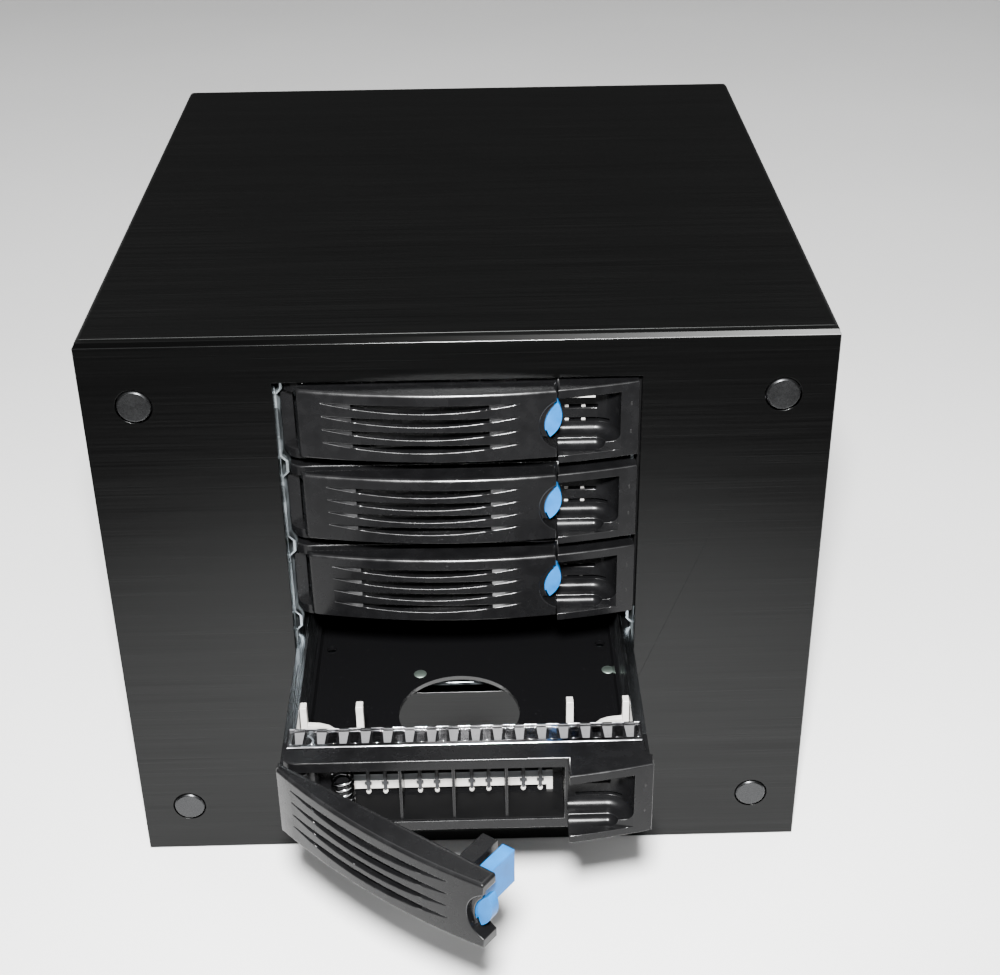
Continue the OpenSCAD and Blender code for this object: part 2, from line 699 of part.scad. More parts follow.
module lever() {
    wall = 1.8;
    color("#1b1c1d") difference() {
        union() {
            difference() {
                translate([0, 0, lever_low]) linear_extrude(tray_h - lever_low) lever_plan(0);
                // Hollow behind the front wall, between the top and bottom flanges
                translate([0, wall, lever_low + wall]) linear_extrude(tray_h - lever_low - 2 * wall)
                    polygon(concat(nose(lever_left + 3, lever_right - 7),
                        [[lever_right - 7, 4], [lever_left + 3, 4]]));
                for (i = [0:slots - 1]) lever_slot(tray_h - 5.1 - slot_pitch * i);
                // Notch for the latch's thumb tab
                along_y(-15, 5) notch_shape();
            }
            // Back wall behind the slots
            box(lever_left + 2.5, lever_right - 6.5, lever_back - 1.2, lever_back, lever_low + 1, tray_h - 1);
            // Shroud beside the thumb tab
            along_y(-4.6, -4) intersection() {
                difference() {
                    notch_shape(0.3);
                    leaf_shape(0.4);
                }
                translate([leaf_x - 6, 10.6]) square([6, 12.4]);
            }
            // Hinge arm back to the pin
            difference() {
                union() {
                    translate([pivot_x, pivot_y, win_low + 0.5]) cylinder(r = 3, h = 18.9);
                    box(pivot_x - 1.4, pivot_x + 2.2, -1.5, pivot_y, lever_low + 2, lever_low + 17.5);
                    box(pivot_x - 1.4, pivot_x + 2.2, -1.5, lever_back + 0.2, lever_low + 0.5, lever_low + 17.5);
                }
                translate([pivot_x, pivot_y, 0]) cylinder(r = pin_r + pin_gap, h = 40);
            }
            // Block that carries the latch
            box(15.2, latch_x - 1.8, -5, 15.2, 9.2, 23.3);
        }
        box(latch_x - 1.8, lever_right + 2, -3.9, 16, 9.2, 23.9);
        // Claw
        translate([lever_left - 1.5, 0, 0]) box(-1, 0.4, -1, 0.9, 22.3, 24.4);
    }
}

// Thumb tab and hook, which slide along the lever
module latch() {
    color("#5d9fe0") difference() {
        union() {
            box(latch_x, latch_x + 4.2, -3.2, 15, 11, 23.2);
            along_y(-3.7, -0.4) leaf_shape();
            box(latch_x + 1, leaf_x, -3.2, -1.6, 12, 19.6);
        }
        box(latch_x - 1, latch_x + 2.8, 1.4, 13.6, 10, 21.6);
    }
}

// ---- One module per piece of each tray ----
module tray_1_bezel() { in_bay(1) { tray_bezel(); tray_grid_ribs(); } }
module tray_1_base() { in_bay(1) tray_base(); }
module tray_1_rails() { in_bay(1) tray_rails(); }
module tray_1_emi_strip() { in_bay(1) tray_emi_strip(); }
module tray_1_clips() { in_bay(1) tray_clips(); }
module tray_1_pin() { in_bay(1) tray_pin(); }
module tray_1_spring() { in_bay(1) tray_spring(); }
module tray_1_lever() { on_pivot(1) lever(); }
module tray_1_latch() { on_pivot(1) latch(); }
module tray_2_bezel() { in_bay(2) { tray_bezel(); tray_grid_ribs(); } }
module tray_2_base() { in_bay(2) tray_base(); }
module tray_2_rails() { in_bay(2) tray_rails(); }
module tray_2_emi_strip() { in_bay(2) tray_emi_strip(); }
module tray_2_clips() { in_bay(2) tray_clips(); }
module tray_2_pin() { in_bay(2) tray_pin(); }
module tray_2_spring() { in_bay(2) tray_spring(); }
module tray_2_lever() { on_pivot(2) lever(); }
module tray_2_latch() { on_pivot(2) latch(); }
module tray_3_bezel() { in_bay(3) { tray_bezel(); tray_grid_ribs(); } }
module tray_3_base() { in_bay(3) tray_base(); }
module tray_3_rails() { in_bay(3) tray_rails(); }
module tray_3_emi_strip() { in_bay(3) tray_emi_strip(); }
module tray_3_clips() { in_bay(3) tray_clips(); }
module tray_3_pin() { in_bay(3) tray_pin(); }
module tray_3_spring() { in_bay(3) tray_spring(); }
module tray_3_lever() { on_pivot(3) lever(); }
module tray_3_latch() { on_pivot(3) latch(); }
module tray_4_bezel() { in_bay(4) { tray_bezel(); tray_grid_ribs(); } }
module tray_4_base() { in_bay(4) tray_base(); }
module tray_4_rails() { in_bay(4) tray_rails(); }
module tray_4_emi_strip() { in_bay(4) tray_emi_strip(); }
module tray_4_clips() { in_bay(4) tray_clips(); }
module tray_4_pin() { in_bay(4) tray_pin(); }
module tray_4_spring() { in_bay(4) tray_spring(); }
module tray_4_lever() { on_pivot(4) lever(); }
module tray_4_latch() { on_pivot(4) latch(); }

front_plate();
cap_screws();
power_button();
button_housing();
front_frame();
cover();
base_pan();
rear_panel();
cage_left_wall();
cage_right_wall();
cage_top_plate();
cage_shelf();
backplane();
drive_connectors();
fan_frame();
fan_rotor();
fan_guard();
fan_screws();
psu_case();
psu_inlet();
psu_fan_rotor();
rubber_feet();
cover_screws();
board_standoffs();
tray_1_bezel();
tray_1_base();
tray_1_rails();
tray_1_emi_strip();
tray_1_clips();
tray_1_pin();
tray_1_spring();
tray_1_lever();
tray_1_latch();
tray_2_bezel();
tray_2_base();
tray_2_rails();
tray_2_emi_strip();
tray_2_clips();
tray_2_pin();
tray_2_spring();
tray_2_lever();
tray_2_latch();
tray_3_bezel();
tray_3_base();
tray_3_rails();
tray_3_emi_strip();
tray_3_clips();
tray_3_pin();
tray_3_spring();
tray_3_lever();
tray_3_latch();
tray_4_bezel();
tray_4_base();
tray_4_rails();
tray_4_emi_strip();
tray_4_clips();
tray_4_pin();
tray_4_spring();
tray_4_lever();
tray_4_latch();
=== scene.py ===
import json
import math

import bmesh
import bpy
from mathutils import Matrix, Vector


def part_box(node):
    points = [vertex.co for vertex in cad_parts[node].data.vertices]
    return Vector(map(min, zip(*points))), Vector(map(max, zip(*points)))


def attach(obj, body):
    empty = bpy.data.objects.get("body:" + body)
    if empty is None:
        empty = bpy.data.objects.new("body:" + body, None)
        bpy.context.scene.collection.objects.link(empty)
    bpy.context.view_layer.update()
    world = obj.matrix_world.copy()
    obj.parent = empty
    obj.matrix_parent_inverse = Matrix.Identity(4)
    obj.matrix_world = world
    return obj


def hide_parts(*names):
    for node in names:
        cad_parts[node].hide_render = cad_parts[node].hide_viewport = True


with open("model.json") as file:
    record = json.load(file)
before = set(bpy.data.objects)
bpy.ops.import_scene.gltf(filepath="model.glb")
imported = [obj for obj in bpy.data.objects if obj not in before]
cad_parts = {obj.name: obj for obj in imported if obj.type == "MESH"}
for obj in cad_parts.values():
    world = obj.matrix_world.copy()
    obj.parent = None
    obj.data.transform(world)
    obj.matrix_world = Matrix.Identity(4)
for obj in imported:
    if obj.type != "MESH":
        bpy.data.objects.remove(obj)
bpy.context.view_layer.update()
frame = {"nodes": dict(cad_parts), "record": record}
NODES = frame["nodes"]
MM = 0.001
TRAYS = (1, 2, 3, 4)
SHARP = math.radians(32.0)          # edges that turn more than this are kept as edges

# A tray's own millimetres: x from its middle, y from the bezel's front, z from its bottom
LEVER_PIVOT = (-47.9, 10.5, 0)
LEVER_OPEN = {4: 37.5}              # degrees at rest, on the trays whose lever is open
STRIP_HALF = 54                     # half the contact strip's length


# ---------------------------------------------------------------- camera and stage
def make_camera():
    """31 degrees above the horizon, almost square to the front plate."""
    forward = Vector((0.01584, 0.85975, -0.51047)).normalized()
    right = Vector((0.99965, -0.02447, -0.01019))
    right = (right - forward * right.dot(forward)).normalized()
    up = right.cross(forward)
    camera = bpy.data.cameras.new("camera")
    camera.sensor_width = 36.0
    camera.lens = 59.696
    camera.shift_x = -0.00825
    camera.shift_y = 0.01715
    camera.clip_start = 0.01
    camera.clip_end = 50.0
    obj = bpy.data.objects.new("camera", camera)
    basis = Matrix((right, up, -forward)).transposed().to_4x4()
    obj.matrix_world = Matrix.Translation((0.00628, -0.5309, 0.4175)) @ basis
    bpy.context.scene.collection.objects.link(obj)
    bpy.context.scene.camera = obj


def aimed(name, light, place, aim):
    """Puts a light at its place, turned to its aim."""
    obj = bpy.data.objects.new(name, light)
    obj.location = place
    obj.rotation_euler = (Vector(aim) - Vector(place)).to_track_quat("-Z", "Y").to_euler()
    bpy.context.scene.collection.objects.link(obj)


def area_light(name, place, aim, size, power):
    light = bpy.data.lights.new(name, "AREA")
    light.shape = "RECTANGLE"
    light.size, light.size_y = size
    light.energy = power
    aimed(name, light, place, aim)


def spot_light(name, place, aim, power, radius, cone, blend):
    light = bpy.data.lights.new(name, "SPOT")
    light.energy = power
    light.shadow_soft_size = radius
    light.spot_size = math.radians(cone)
    light.spot_blend = blend
    aimed(name, light, place, aim)


# ---------------------------------------------------------------- material helpers
class Shader:
    """A Principled material and the few node recipes that the materials share."""

    def __init__(self, name, base, rough, metal=0.0, specular=0.5, coat=0.0, coat_rough=0.1):
        self.mat = bpy.data.materials.new(name)
        self.mat.use_nodes = True
        self.nodes = self.mat.node_tree.nodes
        self.links = self.mat.node_tree.links
        self.bsdf = self.nodes["Principled BSDF"]
        self.bsdf.inputs["Base Color"].default_value = (*base, 1)
        self.bsdf.inputs["Roughness"].default_value = rough
        self.bsdf.inputs["Metallic"].default_value = metal
        self.bsdf.inputs["Specular IOR Level"].default_value = specular
        self.bsdf.inputs["Coat Weight"].default_value = coat
        self.bsdf.inputs["Coat Roughness"].default_value = coat_rough
        self.base = base
        self.mat.diffuse_color = (*base, 1)
        self.height = None
        coords = self.nodes.new("ShaderNodeTexCoord")
        self.coords = coords.outputs["Object"]

    def link(self, out, into):
        self.links.new(out, into)

    def math(self, op, a, b=None, clamp=False):
        node = self.nodes.new("ShaderNodeMath")
        node.operation = op
        node.use_clamp = clamp
        for socket, value in zip(node.inputs, (a, b)):
            if value is None:
                continue
            if isinstance(value, (int, float)):
                socket.default_value = value
            else:
                self.link(value, socket)
        return node.outputs[0]

    def mapped(self, stretch):
        node = self.nodes.new("ShaderNodeMapping")
        node.inputs["Scale"].default_value = stretch
        self.link(self.coords, node.inputs["Vector"])
        return node.outputs[0]

    def noise(self, stretch=(1, 1, 1), scale=100.0, detail=3.0, rough=0.5):
        node = self.nodes.new("ShaderNodeTexNoise")
        node.inputs["Scale"].default_value = scale
        node.inputs["Detail"].default_value = detail
        node.inputs["Roughness"].default_value = rough
        self.link(self.mapped(stretch), node.inputs["Vector"])
        return node.outputs["Fac"]

    def cells(self, scale, out="Distance"):
        node = self.nodes.new("ShaderNodeTexVoronoi")
        node.inputs["Scale"].default_value = scale
        self.link(self.coords, node.inputs["Vector"])
        return node.outputs[out]

    def spread(self, fac, low, high, start=0.3, stop=0.7):
        """fac from start to stop becomes low to high."""
        node = self.nodes.new("ShaderNodeMapRange")
        for socket, value in zip(("From Min", "From Max", "To Min", "To Max"), (start, stop, low, high)):
            node.inputs[socket].default_value = value
        self.link(fac, node.inputs["Value"])
        return node.outputs["Result"]

    def tint(self, fac, dark, light, start=0.3, stop=0.7):
        """Base colour from dark to light, as factors of the base."""
        node = self.nodes.new("ShaderNodeMix")
        node.data_type = "RGBA"
        self.link(self.spread(fac, 0, 1, start, stop), node.inputs["Factor"])
        node.inputs[6].default_value = (*[min(c * dark, 1) for c in self.base], 1)
        node.inputs[7].default_value = (*[min(c * light, 1) for c in self.base], 1)
        self.link(node.outputs[2], self.bsdf.inputs["Base Color"])

    def rough(self, fac, low, high, start=0.3, stop=0.7):
        self.link(self.spread(fac, low, high, start, stop), self.bsdf.inputs["Roughness"])

    def bump(self, height, distance, strength=1.0):
        """Adds one more layer of relief, distance in metres."""
        node = self.nodes.new("ShaderNodeBump")
        node.inputs["Strength"].default_value = strength
        node.inputs["Distance"].default_value = distance
        self.link(height, node.inputs["Height"])
        if self.height is not None:
            self.link(self.height, node.inputs["Normal"])
        self.height = node.outputs["Normal"]
        self.link(self.height, self.bsdf.inputs["Normal"])


# ---------------------------------------------------------------- materials
def rims_with_painted_reflection(s, top, side):
    """Lighter, less metallic rims of the plate: the top one lightens towards the right, a painted reflection; the
    right one is a thin lighter line.
    """
    split = s.nodes.new("ShaderNodeSeparateXYZ")
    s.link(s.coords, split.inputs[0])
    x, z = split.outputs[0], split.outputs[2]
    fade_in, fade_out = 0.0003, 0.0001
    # Painted reflection: the top rim's colour lightens from left to right along x.
    ramp = s.math("POWER", s.spread(x, 0.02, 1, -0.09, 0.11), 2.2)
    right = s.math("MULTIPLY", s.spread(x, 0, 1, side - fade_in, side - fade_out), 0.5)
    upper = s.math("MULTIPLY", s.spread(z, 0, 1, top - fade_in, top - fade_out), ramp)
    mask = s.math("MAXIMUM", upper, right, True)
    # The rims blend to a light, less metallic grey; on the top rim this is the painted reflection.
    node = s.nodes.new("ShaderNodeMix")
    node.data_type = "RGBA"
    s.link(mask, node.inputs["Factor"])
    s.link(s.bsdf.inputs["Base Color"].links[0].from_socket, node.inputs[6])
    node.inputs[7].default_value = (0.17, 0.17, 0.168, 1)
    s.link(node.outputs[2], s.bsdf.inputs["Base Color"])
    s.link(s.math("SUBTRACT", 1.0, s.math("MULTIPLY", mask, 0.8)), s.bsdf.inputs["Metallic"])


def brushed_black(name, along, base, rough, streak=1.0, rims=None):
    """Black anodised aluminium, brushed along one axis (0, 1 or 2)."""
    s = Shader(name, base, rough, metal=1.0)
    fine = [2600.0] * 3
    fine[along] = 14.0
    broad = [240.0] * 3
    broad[along] = 5.0
    lines = s.noise(fine, 1.0, 3.0, 0.6)
    bands = s.noise(broad, 1.0, 2.0, 0.5)
    both = s.math("ADD", s.math("MULTIPLY", lines, 0.82), s.math("MULTIPLY", bands, 0.18))
    s.tint(both, 1.0 - 0.35 * streak, 1.0 + 0.45 * streak)
    s.rough(both, rough - 0.06, rough + 0.08)
    s.bump(lines, 0.00004, 0.5 * streak)
    # The rims carry a painted reflection along the plate's top rim.
    if rims:
        rims_with_painted_reflection(s, *rims)
    return s.mat


def turned_cap():
    """Dark anodised caps, turned in rings about their own middles."""
    s = Shader("turned_cap", (0.032, 0.0325, 0.0335), 0.3, metal=0.95)
    low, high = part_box("cap_screws")
    mid_z = (low.z + high.z) / 2
    radius = (high.x - low.x) / 2
    head = 5.4 * MM
    split = s.nodes.new("ShaderNodeSeparateXYZ")
    s.link(s.coords, split.inputs[0])
    dx = s.math("SUBTRACT", s.math("ABSOLUTE", split.outputs[0]), radius - head)
    above_middle = s.math("SUBTRACT", split.outputs[2], mid_z)
    dz = s.math("SUBTRACT", s.math("ABSOLUTE", above_middle), (high.z - low.z) / 2 - head)
    r = s.math("SQRT", s.math("ADD", s.math("MULTIPLY", dx, dx), s.math("MULTIPLY", dz, dz)))
    ring = s.math("SINE", s.math("MULTIPLY", r, 16000.0))
    s.rough(s.noise((1, 1, 1), 900.0), 0.22, 0.34)
    s.tint(s.spread(ring, 0, 1, -1, 1), 0.85, 1.18, 0, 1)
    s.bump(s.spread(ring, 0, 1, -1, 1), 0.00005, 0.35)
    return s.mat


def moulded(name, base, rough, grain=1.0, coat=0.0, specular=0.5):
    """Moulded plastic: fine spark texture, slow thickness ripple, and handling haze."""
    s = Shader(name, base, rough, coat=coat, coat_rough=0.12, specular=specular)
    fine = s.noise((1, 1, 1), 3800.0, 2.0)
    slow = s.noise((1, 1, 1), 55.0, 2.0)
    haze = s.noise((1, 1, 1), 170.0, 4.0, 0.6)
    s.tint(haze, 0.8, 1.25)
    s.rough(haze, max(rough - 0.07, 0.05), rough + 0.1)
    s.bump(slow, 0.0004, 0.10)
    s.bump(fine, 0.00003, 0.5 * grain)
    return s.mat


def bright_sheet(name, base, rough, along=1, wave=0.0):
    """Rolled steel with fine lengthwise drawing lines, and a slow wave where it is thin and sprung."""
    s = Shader(name, base, rough, metal=1.0)
    stretch = [1500.0] * 3
    stretch[along] = 30.0
    lines = s.noise(stretch, 1.0, 3.0, 0.6)
    smudge = s.noise((1, 1, 1), 90.0, 3.0)
    s.tint(smudge, 0.82, 1.08)
    both = s.math("ADD", s.math("MULTIPLY", lines, 0.6), s.math("MULTIPLY", smudge, 0.4))
    s.rough(both, rough - 0.08, rough + 0.12)
    s.bump(s.noise((1, 1, 1), 150.0, 1.0), 0.0008, wave)
    s.bump(lines, 0.00002, 0.5)
    return s.mat


def galvanised():
    """Zinc-coated sheet with its spangle."""
    s = Shader("galvanised", (0.36, 0.40, 0.42), 0.36, metal=1.0)
    spangle = s.cells(230.0, "Color")
    fine = s.noise((1, 1, 1), 1400.0)
    s.tint(spangle, 0.72, 1.15, 0.1, 0.9)
    s.rough(s.math("ADD", s.math("MULTIPLY", spangle, 0.5), s.math("MULTIPLY", fine, 0.5)), 0.27, 0.5)
    s.bump(fine, 0.00002, 0.5)
    return s.mat


def powder_coat():
    """Dark powder-coated sheet with its orange-peel texture."""
    s = Shader("powder_coat", (0.022, 0.022, 0.024), 0.5)
    peel = s.noise((1, 1, 1), 1500.0, 2.0)
    s.tint(peel, 0.8, 1.3)
    s.rough(peel, 0.42, 0.6)
    s.bump(peel, 0.00008, 0.7)
    return s.mat


def gloss_floor():
    """Gloss black tray floor with dust specks and fine scratches."""
    s = Shader("gloss_floor", (0.0022, 0.0022, 0.0024), 0.1, specular=0.4)
    specks = s.cells(420.0)
    scratch = s.noise((60.0, 900.0, 60.0), 1.0, 4.0, 0.7)
    s.tint(specks, 14.0, 1.0, 0.02, 0.055)
    s.rough(scratch, 0.07, 0.22)
    s.bump(s.noise((1, 1, 1), 30.0), 0.0003, 0.1)
    return s.mat


def solder_mask():
    """Green board with faint copper tracks under the mask."""
    s = Shader("solder_mask", (0.02, 0.13, 0.055), 0.3, coat=0.5)
    tracks = s.nodes.new("ShaderNodeTexBrick")
    tracks.inputs["Scale"].default_value = 260.0
    tracks.inputs["Mortar Size"].default_value = 0.03
    s.link(s.mapped((1, 1, 1)), tracks.inputs["Vector"])
    s.tint(tracks.outputs["Fac"], 1.0, 1.7, 0, 1)
    s.rough(s.noise((1, 1, 1), 400.0), 0.22, 0.4)
    s.bump(tracks.outputs["Fac"], 0.00003, 0.6)
    return s.mat


def rubber():
    s = Shader("rubber", (0.018, 0.018, 0.018), 0.75, specular=0.35)
    grain = s.noise((1, 1, 1), 2200.0)
    s.tint(grain, 0.8, 1.3)
    s.rough(grain, 0.65, 0.85)
    s.bump(grain, 0.00006, 0.6)
    return s.mat


def lens_plastic():
    s = Shader("lens_plastic", (0.006, 0.006, 0.006), 0.3, specular=0.2)
    s.tint(s.noise((1, 1, 1), 1500.0), 0.8, 1.1)
    s.rough(s.noise((1, 1, 1), 2500.0), 0.35, 0.5)
    return s.mat


def pale_floor():
    s = Shader("pale_floor", (0.80, 0.80, 0.795), 0.6, specular=0.25)
    weave = s.noise((1, 1, 1), 900.0, 2.0)
    s.tint(s.noise((1, 1, 1), 4.0, 3.0), 0.97, 1.02)
    s.rough(weave, 0.55, 0.7)
    s.bump(weave, 0.00008, 0.25)
    return s.mat


MATERIALS = {
    # The plate's top rim carries a painted reflection that lightens towards the right.
    "front_plate": brushed_black("front_anodised", 0, (0.015, 0.0152, 0.0152), 0.21, 0.35, rims=(0.202, 0.11775)),
    "cover": brushed_black("cover_anodised", 0, (0.016, 0.0163, 0.0161), 0.40, 0.4),
    "front_caps": turned_cap(),
    "dark_sheet": powder_coat(),
    "black_plastic": moulded("black_plastic", (0.006, 0.006, 0.0062), 0.42, 1.0, 0.0, 0.35),
    "fan_plastic": moulded("fan_plastic", (0.008, 0.008, 0.0085), 0.38, 1.0, 0.0, 0.4),
    "galvanised": galvanised(),
    "circuit_board": solder_mask(),
    "plated_steel": bright_sheet("plated_steel", (0.66, 0.67, 0.69), 0.25, 2),
    "psu_steel": bright_sheet("psu_steel", (0.5, 0.51, 0.53), 0.36, 1),
    "rubber": rubber(),
    "black_screws": moulded("black_screws", (0.03, 0.03, 0.03), 0.4),
    "brass": bright_sheet("brass", (0.72, 0.52, 0.22), 0.3, 2),
    "tray_plastic": moulded("tray_plastic", (0.0028, 0.0028, 0.003), 0.24, 0.5, 0.0, 0.13),
    "tray_floor": gloss_floor(),
    "rail_steel": bright_sheet("rail_steel", (0.10, 0.105, 0.11), 0.24, 1),
    "spring_steel": bright_sheet("spring_steel", (0.4, 0.4, 0.41), 0.14, 0, 0.35),
    "white_plastic": moulded("white_plastic", (0.40, 0.39, 0.37), 0.4, 0.6),
    "blue_plastic": moulded("blue_plastic", (0.002, 0.086, 0.27), 0.42, 0.6, 0.0, 0.1),
}
MATERIALS_EXTRA = {
    "lens": lens_plastic(),
    "floor": pale_floor(),
    # A dimmer copy of the lever plastic for the slot-end ramps, so they render darker: painted shade.
    "painted_shade": moulded("painted_shade_ramp", (0.0035, 0.0035, 0.0037), 0.24, 0.8, 0.0, 0.07),
    # A lighter, glossier copy of the tray plastic for the broken edges of bezels and levers, to brighten their
    # highlights: a painted highlight.
    "edge": moulded("glossy_painted_highlight_edge", (0.004, 0.004, 0.0042), 0.22, 0.5, 0.0, 0.42),
    "bright_edge": bright_sheet("sheared_edge", (0.7, 0.7, 0.72), 0.2, 1),
    # A darker copy of the finger steel for the flat strip, so it shows dark between the fingers: painted shade.
    "sheet": bright_sheet("shaded_strip_sheet", (0.15, 0.15, 0.155), 0.12, 0, 0.5),
    "stem": moulded("peg_stem", (0.022, 0.0225, 0.024), 0.45, 0.6, 0.0, 0.3),
    "matt": moulded("matt_black", (0.0012, 0.0012, 0.0013), 0.6, 1.0, 0.0, 0.08),
    "leg": bright_sheet("leg_steel", (0.26, 0.27, 0.28), 0.45, 0),
    "rivet": bright_sheet("rivet_steel", (0.20, 0.25, 0.22), 0.5, 0),
}


# ---------------------------------------------------------------- mesh helpers
SLOT_OF = {row["node"]: row["material_slot"] for row in frame["record"]["subparts"]}
BODY_OF = {n: body for body, members in frame["record"]["behaviour"]["bodies"].items() for n in members}


def new_object(name, mesh, material):
    mesh.materials.append(material)
    obj = bpy.data.objects.new(name, mesh)
    bpy.context.scene.collection.objects.link(obj)
    return obj


def mark_sharp(bm):
    for face in bm.faces:
        face.smooth = True
    for edge in bm.edges:
        edge.smooth = edge.calc_face_angle(0.0) < SHARP


def weigh_edges(bm, width):
    """Marks the outer edges to break, the top ones most, and none wider than its narrower face allows."""
    layer = bm.edges.layers.float.new("bevel_weight_edge")
    top = max(v.co.z for v in bm.verts)
    for edge in bm.edges:
        if len(edge.link_faces) != 2 or not edge.is_convex or edge.calc_face_angle() < SHARP:
            continue
        start = edge.verts[0].co
        along = (edge.verts[1].co - start).normalized()
        room = min(max((v.co - start).cross(along).length for v in face.verts) for face in edge.link_faces)
        upper = min(v.co.z for v in edge.verts) > top - 0.0001
        edge[layer] = min(1.0 if upper else 0.24, 0.42 * room / width)


def add_bevel(obj, width, segments=2, weighted=False):
    bevel = obj.modifiers.new("bevel", "BEVEL")
    bevel.width = width
    bevel.segments = segments
    bevel.limit_method = "WEIGHT" if weighted else "ANGLE"
    bevel.angle_limit = SHARP
    bevel.miter_outer = "MITER_ARC"
    bevel.use_clamp_overlap = not weighted
    normals = obj.modifiers.new("weighted_normals", "WEIGHTED_NORMAL")
    normals.keep_sharp = True


def refined(node, width, segments=2):
    """Stands for a CAD node: the same shape with its flat faces joined up and its edges broken."""
    bm = bmesh.new()
    bm.from_mesh(NODES[node].data)
    bmesh.ops.remove_doubles(bm, verts=bm.verts, dist=2e-6)
    if width:
        bmesh.ops.dissolve_limit(bm, angle_limit=math.radians(0.6), verts=bm.verts, edges=bm.edges)
    if node.endswith(("bezel", "lever", "connectors")):
        bmesh.ops.connect_verts_concave(bm, faces=[face for face in bm.faces if len(face.verts) > 4])
    mark_sharp(bm)
    weighted = node.endswith(("bezel", "lever", "latch", "clips"))
    if weighted:
        weigh_edges(bm, width)
    mesh = bpy.data.meshes.new(node + "_skin")
    bm.to_mesh(mesh)
    bm.free()
    obj = new_object(node + "_skin", mesh, MATERIALS[SLOT_OF[node]])
    if width:
        add_bevel(obj, width, segments, weighted)
    # Bezels and levers get the glossier edge copy on their broken edges, a painted highlight; rails get bright
    # sheared steel.
    edge = {"rails": "bright_edge", "bezel": "edge", "lever": "edge"}.get(node.rsplit("_", 1)[-1])
    if edge:
        mesh.materials.append(MATERIALS_EXTRA[edge])
        obj.modifiers["bevel"].material = 1
    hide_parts(node)
    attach(obj, BODY_OF[node])


def piece(name, bm, slot, body, bevel=None, material=None):
    mark_sharp(bm)
    mesh = bpy.data.meshes.new(name)
    bm.to_mesh(mesh)
    bm.free()
    obj = new_object(name, mesh, material or MATERIALS[slot])
    if bevel:
        add_bevel(obj, bevel)
    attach(obj, body)
    return obj


def add_tube(bm, points, radius, sides=10):
    """Sweeps a round wire along points, with closed ends."""
    points = [Vector(p) for p in points]
    rings = []
    normal = None
    for i, point in enumerate(points):
        ahead = points[min(i + 1, len(points) - 1)] - points[max(i - 1, 0)]
        ahead.normalize()
        if normal is None:
            normal = ahead.orthogonal().normalized()
        normal = (normal - ahead * normal.dot(ahead)).normalized()
        side = ahead.cross(normal)
        rings.append([bm.verts.new(point + radius * (math.cos(a) * normal + math.sin(a) * side))
                      for a in (2 * math.pi * k / sides for k in range(sides))])
    for low, high in zip(rings, rings[1:]):
        for k in range(sides):
            bm.faces.new((low[k], low[(k + 1) % sides], high[(k + 1) % sides], high[k]))
    bm.faces.new(list(reversed(rings[0])))
    bm.faces.new(rings[-1])


def add_box(bm, low, high):
    size = Vector(high) - Vector(low)
    middle = (Vector(high) + Vector(low)) / 2
    bmesh.ops.create_cube(bm, size=1.0, matrix=Matrix.Translation(middle) @ Matrix.Diagonal((*size, 1)))


def add_bar(bm, rows):
    """Skins rows of four points each into one closed bar."""
    for a, b in zip(rows, rows[1:]):
        for k in range(4):
            bm.faces.new((a[k], a[(k + 1) % 4], b[(k + 1) % 4], b[k]))
    bm.faces.new(rows[0])
    bm.faces.new(reversed(rows[-1]))


def add_ball(bm, centre, radii, u=12, v=8):
    bmesh.ops.create_uvsphere(bm, u_segments=u, v_segments=v, radius=1.0,
                              matrix=Matrix.Translation(centre) @ Matrix.Diagonal((*radii, 1)))


# ---------------------------------------------------------------- rounding of each node's edges: width, segments
REFINED = {
    "front_plate": (0.35 * MM, 3), "cover": (0.3 * MM, 2),
    "cap_screws": (0.12 * MM, 2), "power_button": (0.12 * MM, 2),
    "rear_panel": (0, 0), "front_frame": (0, 0), "base_pan": (0.15 * MM, 1),
    "cage_left_wall": (0.2 * MM, 2), "cage_right_wall": (0.2 * MM, 2), "cage_top_plate": (0.15 * MM, 1),
    "cage_shelf": (0.15 * MM, 1), "fan_guard": (0.25 * MM, 2),
    "fan_frame": (0.3 * MM, 2), "fan_rotor": (0.3 * MM, 2),
    "psu_case": (0, 0), "psu_inlet": (0, 0), "psu_fan_rotor": (0.2 * MM, 1),
    "drive_connectors": (0.2 * MM, 1), "backplane": (0.1 * MM, 1), "rubber_feet": (0.3 * MM, 2),
    "fan_screws": (0.3 * MM, 2), "cover_screws": (0.15 * MM, 1), "board_standoffs": (0.15 * MM, 1),
    "button_housing": (0.2 * MM, 1),
}
TRAY_REFINED = {
    "bezel": (0.45 * MM, 2), "base": (0.15 * MM, 1), "rails": (0.15 * MM, 1), "clips": (0.25 * MM, 2),
    "lever": (1.0 * MM, 3), "latch": (0.35 * MM, 2), "pin": (0.1 * MM, 1),
}


# ---------------------------------------------------------------- trays
def at(origin, x, y, z):
    """A point given in millimetres from an origin in metres."""
    return origin + Vector((x, y, z)) * MM


def tray_origin(n):
    """Where a tray's own millimetres start, from its bezel's box."""
    low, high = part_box(f"tray_{n}_bezel")
    return Vector(((low.x + high.x) / 2, high.y - 21 * MM, low.z))


